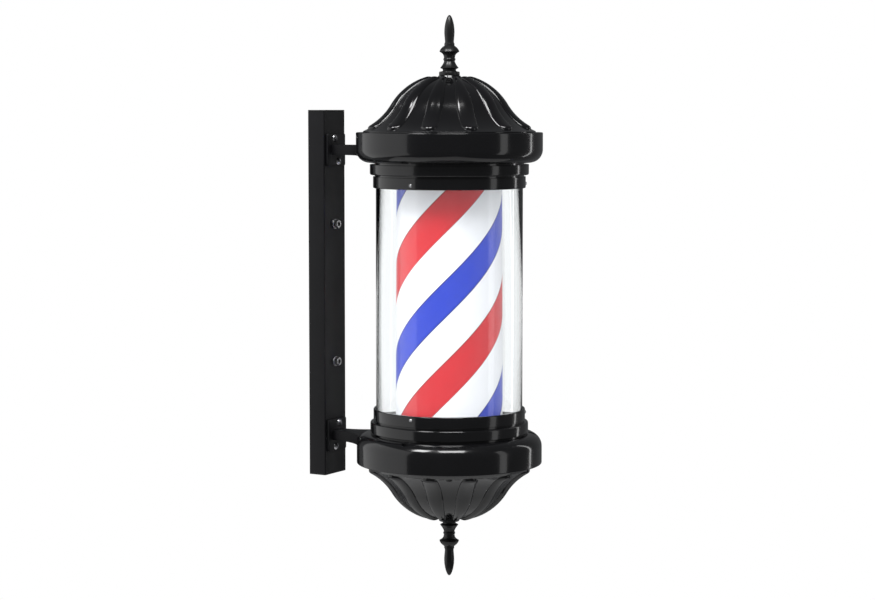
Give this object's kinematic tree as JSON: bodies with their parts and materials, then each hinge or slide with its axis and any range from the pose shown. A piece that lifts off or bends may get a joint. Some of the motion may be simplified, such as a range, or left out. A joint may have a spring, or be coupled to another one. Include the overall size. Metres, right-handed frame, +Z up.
{
  "type": "barber pole light",
  "caption": "Wall-mounted barber pole light: striped cylinder turning in a clear tube between black drum housings with fluted domes and finials, on a wall bar with cast arms.",
  "frame": {"origin": "midway between the two bolt holes, on the back face of the wall bar", "axes": "+Z up along the pole; -Y out of the wall towards the pole; +X to the right for someone who faces the wall"},
  "size_m": [0.236, 0.315, 0.714],
  "materials": {
    "gloss_black": "gloss black enamel on spun metal",
    "satin_black": "satin black powder coat",
    "finial_black": "satin black enamel",
    "cap_plastic": "moulded, fine grain",
    "zinc_steel": "bright zinc plate",
    "chrome_screw": "polished",
    "deck_steel": "plain galvanised sheet",
    "clear_tube": "clear, polished",
    "gasket_rubber": "matt",
    "striped_film": "white with red and blue helical stripes",
    "white_plastic": "moulded",
    "gearbox_alloy": "die cast",
    "shaft_steel": "ground",
    "terminal_plastic": "moulded",
    "terminal_brass": "plain",
    "lamp_porcelain": "glazed",
    "lamp_cap_metal": "rolled",
    "lamp_opal": "opal diffuser",
    "gland_plastic": "nylon"
  },
  "bodies": {
    "housing": {"upper_drum": "gloss_black", "lower_drum": "gloss_black", "upper_dome": "gloss_black", "lower_dome": "gloss_black", "upper_collar": "gloss_black", "lower_collar": "gloss_black", "upper_glass_ring": "gloss_black", "lower_glass_ring": "gloss_black", "wall_bar": "satin_black", "upper_arm": "satin_black", "lower_arm": "satin_black", "upper_finial": "finial_black", "lower_finial": "finial_black", "bar_top_cap": "cap_plastic", "bar_bottom_cap": "cap_plastic", "wall_bolt_washers": "zinc_steel", "wall_bolt_nuts": "zinc_steel", "upper_deck_screws": "zinc_steel", "lower_deck_screws": "zinc_steel", "upper_collar_screws": "zinc_steel", "lower_collar_screws": "zinc_steel", "pipe_nuts": "zinc_steel", "tie_rod": "zinc_steel", "tie_rod_nuts": "zinc_steel", "motor_screws": "zinc_steel", "motor_standoffs": "zinc_steel", "upper_arm_screws": "chrome_screw", "lower_arm_screws": "chrome_screw", "upper_drum_screws": "chrome_screw", "lower_drum_screws": "chrome_screw", "upper_glass_screws": "chrome_screw", "lower_glass_screws": "chrome_screw", "upper_deck": "deck_steel", "lower_deck": "deck_steel", "motor_body": "deck_steel", "outer_glass": "clear_tube", "upper_gasket": "gasket_rubber", "lower_gasket": "gasket_rubber", "motor_gearbox": "gearbox_alloy", "terminal_block": "terminal_plastic", "terminal_screws": "terminal_brass", "lamp_pipe": "terminal_brass", "lamp_holder": "lamp_porcelain", "lamp_cap": "lamp_cap_metal", "lamp_globe": "lamp_opal", "cable_gland": "gland_plastic", "gland_locknut": "gland_plastic"},
    "cylinder": {"striped_cylinder": "striped_film", "cylinder_top_cap": "white_plastic", "cylinder_base_cap": "white_plastic", "guide_bush": "white_plastic", "drive_hub": "gearbox_alloy", "hub_set_screw": "zinc_steel", "hub_screws": "zinc_steel", "motor_shaft": "shaft_steel"}
  },
  "joints": [
    {"name": "cylinder_spin", "type": "hinge", "parent": "housing", "child": "cylinder", "pos_m": [0, -0.197, 0], "axis": [0, 0, 1], "continuous": true}
  ]
}
